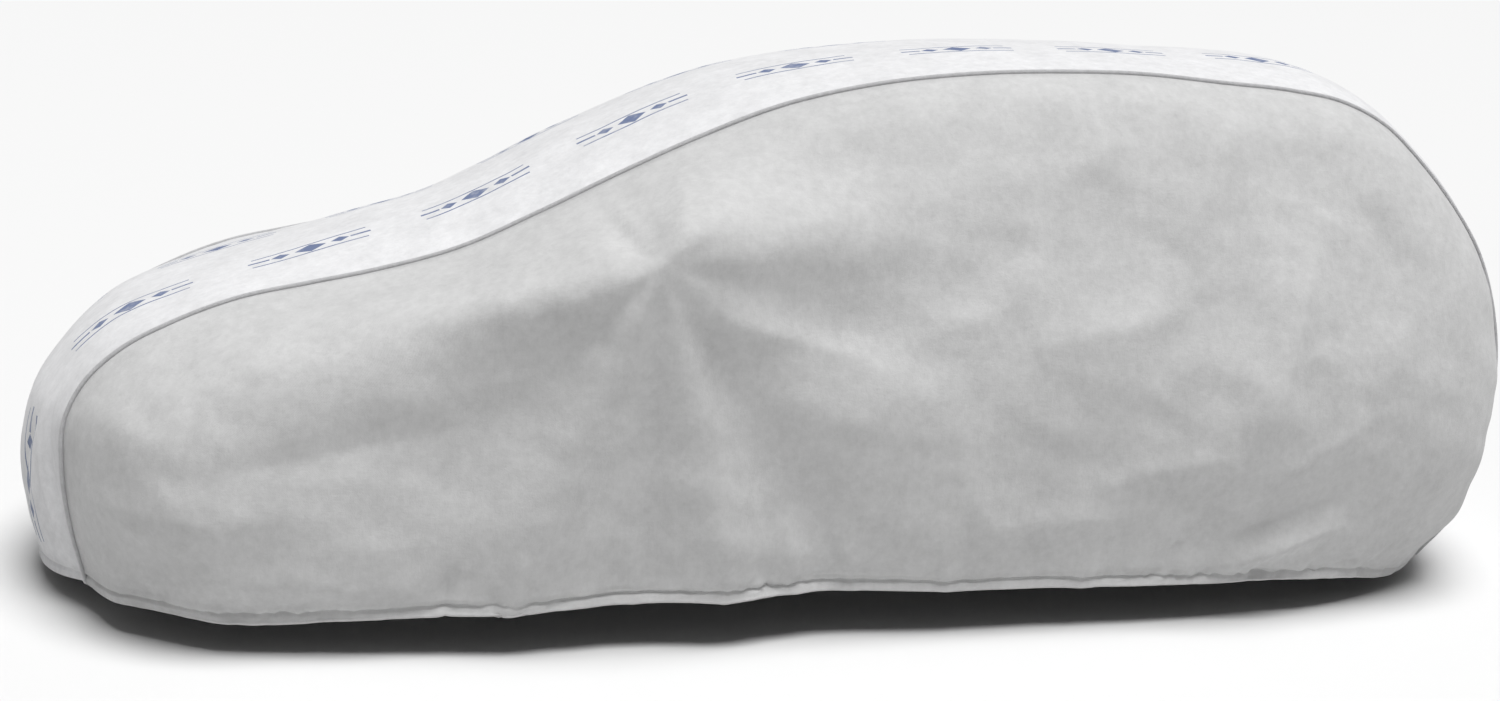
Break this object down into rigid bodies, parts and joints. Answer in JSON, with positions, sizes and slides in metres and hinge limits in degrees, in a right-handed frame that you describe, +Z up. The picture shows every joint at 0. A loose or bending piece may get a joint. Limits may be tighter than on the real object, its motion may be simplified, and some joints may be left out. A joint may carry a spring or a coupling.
{
  "type": "car cover",
  "caption": "Fitted cloth cover for a small hatchback, with a pale strip along the top, grey side panels, piped seams and a drawn-in hem that leaves it open below.",
  "frame": {"origin": "just under the cloth of the strip, at the top of the roof on the middle plane, where the roof holds the cover up", "axes": "+X toward the tail, +Y toward the right side, +Z up"},
  "size_m": [4.0485, 1.76, 1.3796],
  "materials": {
    "strip_cloth": "matt pale grey nonwoven cloth with small blue diamonds",
    "side_cloth": "matt light grey nonwoven cloth, softly crumpled",
    "piping": "matt mid-grey woven piping"
  },
  "bodies": {
    "root": {"top_panel": "strip_cloth", "side_panel_left": "side_cloth", "side_panel_right": "side_cloth", "seam_piping_left": "piping", "seam_piping_right": "piping"}
  },
  "joints": []
}
